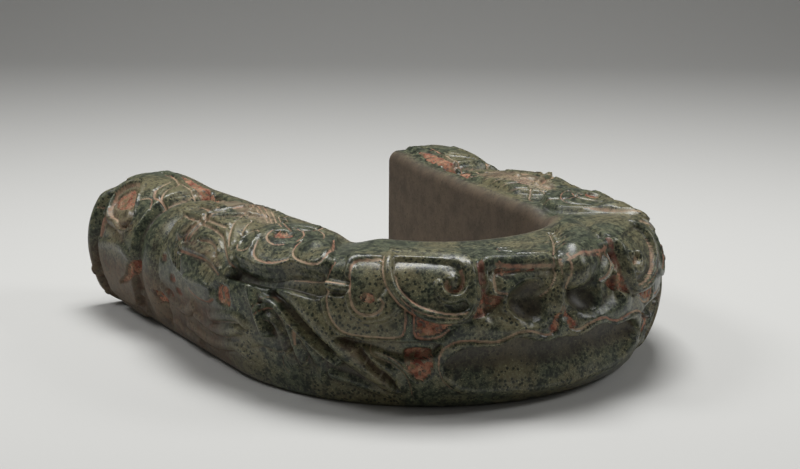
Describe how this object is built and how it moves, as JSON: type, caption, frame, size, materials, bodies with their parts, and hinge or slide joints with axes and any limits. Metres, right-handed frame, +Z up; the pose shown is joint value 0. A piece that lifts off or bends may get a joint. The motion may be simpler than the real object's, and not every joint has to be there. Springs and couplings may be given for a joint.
{
  "type": "carved stone ballgame yoke",
  "caption": "U-shaped carved greenstone yoke with a toad's head at the bend, lying on its flat underside, red pigment in the carving.",
  "frame": {"origin": "centre of the bounding box, on the flat underside", "axes": "+Y along the arms, away from the head; +X to the right seen from behind the head; +Z up from the flat underside; symmetric about X = 0"},
  "size_m": [0.3938, 0.4202, 0.116],
  "materials": {
    "greenstone": "polished, dark green with fine black and olive speckle",
    "red_pigment": "matte, powdery residue"
  },
  "bodies": {
    "root": {"carved_stone": "greenstone", "left_arm_end_pigment": "red_pigment", "left_arm_hollow_pigment": "red_pigment", "left_arm_top_pigment": "red_pigment", "left_cheek_pigment": "red_pigment", "left_collar_foot_pigment": "red_pigment", "left_eye_ground_pigment": "red_pigment", "left_fang_pigment": "red_pigment", "left_haunch_foot_pigment": "red_pigment", "left_lower_cheek_pigment": "red_pigment", "left_mouth_corner_pigment": "red_pigment", "left_scroll_hook_pigment": "red_pigment", "left_spiral_hollow_pigment": "red_pigment", "left_step_plate_pigment": "red_pigment", "right_arm_end_pigment": "red_pigment", "right_arm_hollow_pigment": "red_pigment", "right_arm_top_pigment": "red_pigment", "right_cheek_pigment": "red_pigment", "right_collar_foot_pigment": "red_pigment", "right_eye_ground_pigment": "red_pigment", "right_fang_pigment": "red_pigment", "right_haunch_foot_pigment": "red_pigment", "right_lower_cheek_pigment": "red_pigment", "right_mouth_corner_pigment": "red_pigment", "right_scroll_hook_pigment": "red_pigment", "right_spiral_hollow_pigment": "red_pigment", "right_step_plate_pigment": "red_pigment"}
  },
  "joints": []
}
